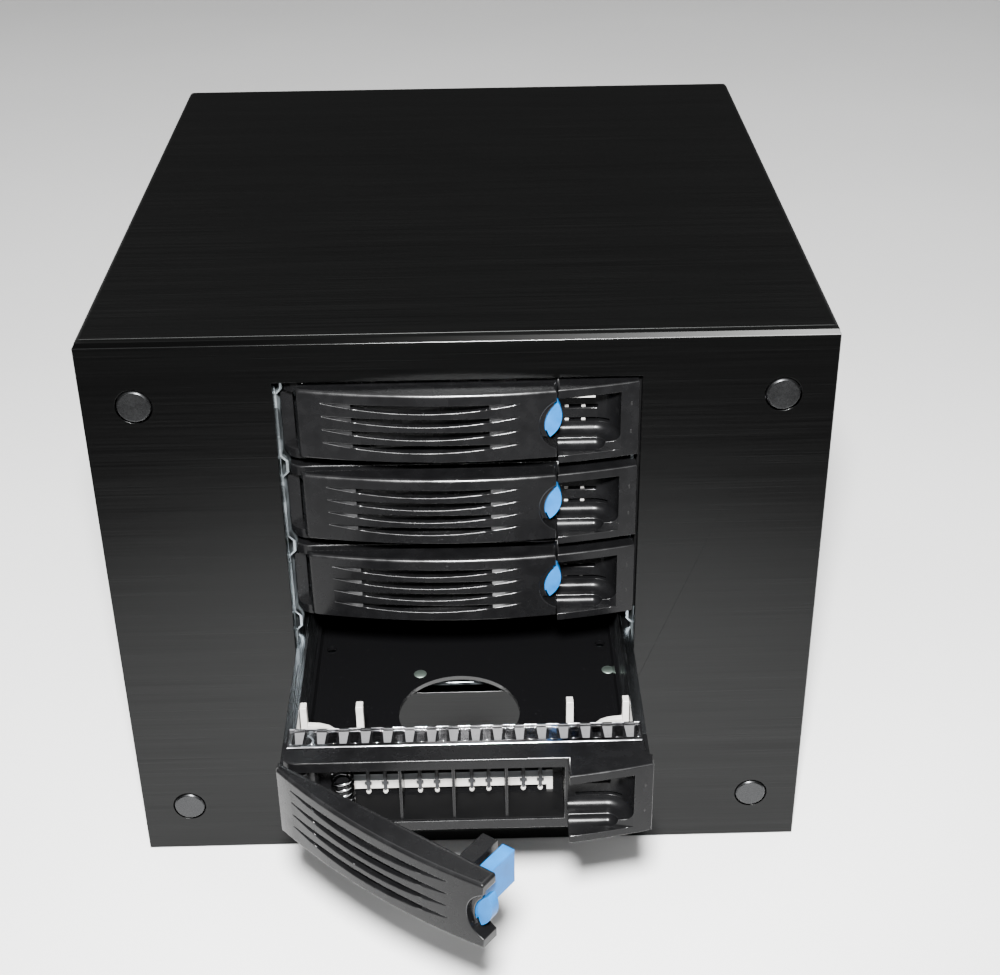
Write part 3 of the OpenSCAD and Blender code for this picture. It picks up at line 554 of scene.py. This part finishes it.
def lever_spring(n):
    """A wound coil in place of the plain turns, on a tapered post."""
    low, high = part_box(f"tray_{n}_spring")
    centre = (low + high) / 2
    wire = 0.42 * MM
    r = (high.x - low.x) / 2 - wire
    steps = 24                      # points in each of six and a half turns
    total = int(6.5 * steps)
    bottom, top = low.z + 0.9 * MM, high.z - wire
    bm = bmesh.new()
    points = []
    for i in range(total + 1):
        a = 2 * math.pi * i / steps
        points.append((centre.x + r * math.cos(a), centre.y + r * math.sin(a), bottom + (top - bottom) * i / total))
    add_tube(bm, points, wire, 10)
    coil = piece(f"spring_coil_{n}", bm, "spring_steel", f"tray_{n}")
    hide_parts(f"tray_{n}_spring")
    tall = (high.z - low.z) * 0.8
    bm = bmesh.new()
    bmesh.ops.create_cone(bm, cap_ends=True, segments=32, radius1=2.3 * MM, radius2=2.1 * MM, depth=tall,
                          matrix=Matrix.Translation((centre.x, centre.y, low.z + tall / 2)))
    piece(f"spring_post_{n}", bm, "tray_plastic", f"tray_{n}", 0.2 * MM)


def lever_frame(n):
    """From a tray's own millimetres to the room, turned with the lever as it stands at rest."""
    turn = Matrix.Rotation(math.radians(-LEVER_OPEN.get(n, 0.0)), 4, "Z")
    pivot = Matrix.Translation(LEVER_PIVOT)
    return Matrix.Translation(tray_origin(n)) @ Matrix.Scale(MM, 4) @ pivot @ turn @ pivot.inverted()


def bow(x):
    """How far forward the bowed front stands at x, in a tray's millimetres."""
    return -7.4 + x * x / 440


def slot_tips(n):
    """Ramps that run out of each lever slot at its two thin ends."""
    slot_middle, slot_half, slot_pitch = -11.8, 30.7, 4.6
    start, length, steps = 21.5, 8.6, 8
    bm = bmesh.new()
    for slot in range(4):
        middle = 22.0 - slot_pitch * slot
        for side in (-1, 1):
            rows = []
            for step in range(steps + 1):
                t = start + length * step / steps
                x = slot_middle + side * t
                z = middle + 1.1 - 2.6 * (1 - (t / slot_half) ** 2)
                rise = min(middle + 1.13 - z, 0.85)
                front, back = bow(x) + 0.08, bow(x) + 0.86
                corners = ((x, front, z), (x, back, z + rise), (x, back, z - 0.05), (x, front, z - 0.05))
                rows.append([bm.verts.new(p) for p in corners])
            add_bar(bm, rows)
    bmesh.ops.recalc_face_normals(bm, faces=bm.faces)
    bm.transform(lever_frame(n))
    # The ramps take the dimmer copy of the lever plastic: painted shade.
    piece(f"slot_tips_{n}", bm, "tray_plastic", f"lever_{n}", material=MATERIALS_EXTRA["painted_shade"])


def drive_clip_front(n):
    """What shows through the grid: pegs on grey stems, and a steel leg over a matt floor."""
    o = tray_origin(n)
    first_cell, cell_pitch, cell_rib = -27.9, 16.15, 2.65
    pegs = [first_cell + cell_pitch * cell + side for cell in range(4) for side in (-cell_rib, cell_rib)]

    def boxes(*corners):
        """Starts a mesh of boxes, each given by its lowest and highest corner."""
        bm = bmesh.new()
        for low, high in corners:
            add_box(bm, at(o, *low), at(o, *high))
        return bm

    tab_y = 7.4 if n < 3 else 8.2
    bm = bmesh.new()
    for x in pegs:
        add_ball(bm, at(o, x, 16.5, 5.0), (0.8 * MM, 0.7 * MM, 0.95 * MM))
    # On tray 1 only, a thin white bar at the top of the finger pocket stands for a bright line there: a painted
    # highlight.
    if n == 1:
        add_box(bm, at(o, 31.9, -3.6, 23.5), at(o, 42.6, -3.1, 23.9))
    for x in (34.4, 39.7):
        for z in (15.25, 10.55):
            add_box(bm, at(o, x - 0.6, tab_y, z - 0.6), at(o, x + 0.6, 8.6, z + 0.6))
    piece(f"clip_pegs_{n}", bm, "white_plastic", f"tray_{n}")
    stems = []
    for x in pegs:
        stems.append(((x - 0.45, 15.8, 5.8), (x + 0.45, 16.05, 23.4)))
        stems.append(((x - 1.1, 15.9, 8.4), (x + 1.1, 16.2, 9.3)))
    piece(f"peg_stems_{n}", boxes(*stems), "tray_plastic", f"tray_{n}", material=MATERIALS_EXTRA["stem"])
    leg = boxes(((-35.5, 17.7, 8.2), (27.2, 18.0, 10.6)))
    piece(f"contact_leg_{n}", leg, "rail_steel", f"tray_{n}", 0.1 * MM, MATERIALS_EXTRA["leg"])
    matt = boxes(((-44.0, 4.4, 3.3), (30.0, 16.1, 3.55)))
    piece(f"grid_floor_{n}", matt, "black_plastic", f"tray_{n}", 0.05 * MM, MATERIALS_EXTRA["matt"])


def earthing_strip(n):
    """The sprung strip on the bezel: a perforated sheet with sixteen raised tapering fingers."""
    low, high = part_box(f"tray_{n}_emi_strip")
    o = Vector(((low.x + high.x) / 2, low.y, low.z))
    pitch, sheet_t = 6.75, 0.3
    bars = [(-STRIP_HALF, STRIP_HALF, 0.1, 2.5), (-STRIP_HALF, STRIP_HALF, 8.3, 9.7)]
    for i in range(17):
        middle = (i - 8) * pitch
        bars.append((max(middle - 1.25, -STRIP_HALF), min(middle + 1.25, STRIP_HALF), 2.5, 8.3))
    bm = bmesh.new()
    for x0, x1, y0, y1 in bars:
        add_box(bm, at(o, x0, y0, 0), at(o, x1, y1, sheet_t))
    # The flat sheet takes the darker copy of the steel: painted shade between the fingers.
    sheet = piece(f"earthing_sheet_{n}", bm, "spring_steel", f"tray_{n}", 0.06 * MM, MATERIALS_EXTRA["sheet"])
    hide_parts(f"tray_{n}_emi_strip")
    bm = bmesh.new()
    for y, z, r in ((0.5, 0.5, 0.5), (9.55, 0.4, 0.2)):
        add_tube(bm, [at(o, x, y, z) for x in (-STRIP_HALF, STRIP_HALF)], r * MM, 14)
    # One finger from its root to its tip: y, height and half width
    outline = ((2.4, 0.0, 1.05), (6.5, 0.85, 1.5), (7.4, 1.55, 1.6), (7.9, 1.6, 1.6), (8.4, 0.0, 1.6))
    for i in range(16):
        x = (i - 7.5) * pitch
        rows = []
        for y, z, half in outline:
            corners = ((x - half, y, z + 0.28), (x + half, y, z + 0.28), (x + half, y + 0.05, z), (x - half, y + 0.05, z))
            rows.append([bm.verts.new(at(o, *p)) for p in corners])
        add_bar(bm, rows)
    bmesh.ops.recalc_face_normals(bm, faces=bm.faces)
    fingers = piece(f"earthing_fingers_{n}", bm, "spring_steel", f"tray_{n}", 0.06 * MM)
    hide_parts(f"tray_{n}_emi_strip")


def light_marks(n):
    """Two small smoked windows in the right cheek."""
    o = tray_origin(n)
    x = 54.2
    bm = bmesh.new()
    for z in (19.6, 9.8):
        add_ball(bm, at(o, x, bow(x) + 0.02, z), (0.35 * MM, 0.12 * MM, 0.7 * MM), 16, 10)
    piece(f"light_marks_{n}", bm, "tray_plastic", f"tray_{n}", material=MATERIALS_EXTRA["lens"])


def floor_rivets(n):
    """Four flat rivet heads on the tray's floor."""
    o = tray_origin(n)
    bm = bmesh.new()
    for x in (-15.9, 49.4):
        for y in (80.6, 157.2):
            add_ball(bm, at(o, x, y, 2.55), (2.3 * MM, 2.3 * MM, 0.6 * MM), 28, 12)
    piece(f"floor_rivets_{n}", bm, "spring_steel", f"tray_{n}", material=MATERIALS_EXTRA["rivet"])


def gap_shade_strip():
    """Black strip behind the plate in the gap at the right of the upper three trays, hiding the cage wall: it stands
    for the shade there, painted shade.
    """
    low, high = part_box("tray_1_bezel")
    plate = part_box("front_plate")[1].y
    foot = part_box("tray_3_bezel")[0].z
    bm = bmesh.new()
    add_box(bm, (high.x + 0.2 * MM, plate + 0.1 * MM, foot), (high.x + 1.6 * MM, plate + 1.25 * MM, high.z + 1 * MM))
    piece("gap_shade_strip", bm, "black_plastic", "case", 0.1 * MM, MATERIALS_EXTRA["matt"])


def make_floor():
    bm = bmesh.new()
    bmesh.ops.create_grid(bm, x_segments=8, y_segments=8, size=6.0)
    mesh = bpy.data.meshes.new("floor")
    bm.to_mesh(mesh)
    bm.free()
    floor = new_object("floor", mesh, MATERIALS_EXTRA["floor"])


def make_lights():
    world = bpy.data.worlds.new("studio")
    bpy.context.scene.world = world
    world.use_nodes = True
    background = world.node_tree.nodes["Background"]
    background.inputs["Color"].default_value = (1.0, 1.0, 1.0, 1)
    background.inputs["Strength"].default_value = 0.075
    spot_light("key", (0.0, -0.56, 0.56), (0, 0.24, 0), 150.0, 0.035, 76.0, 0.9)
    area_light("overhead", (0.0, 0.45, 1.3), (0, 0.4, 0), (1.3, 1.0), 7.0)
    area_light("front_fill", (0.0, -0.9, 1.0), (0, -0.1, 0.0), (1.4, 0.7), 8.0)
    area_light("fill_left", (-1.3, 1.0, 0.8), (0, 0.05, 0.08), (0.7, 0.7), 6.0)
    area_light("fill_right", (1.3, 1.0, 0.8), (0, 0.05, 0.08), (0.7, 0.7), 6.0)


# ---------------------------------------------------------------- the scene
make_camera()
gap_shade_strip()
for node, (width, segments) in REFINED.items():
    refined(node, width, segments)
for n in TRAYS:
    for part, (width, segments) in TRAY_REFINED.items():
        refined(f"tray_{n}_{part}", width, segments)
    lever_spring(n)
    slot_tips(n)
    drive_clip_front(n)
    earthing_strip(n)
    light_marks(n)
    floor_rivets(n)
make_floor()
make_lights()
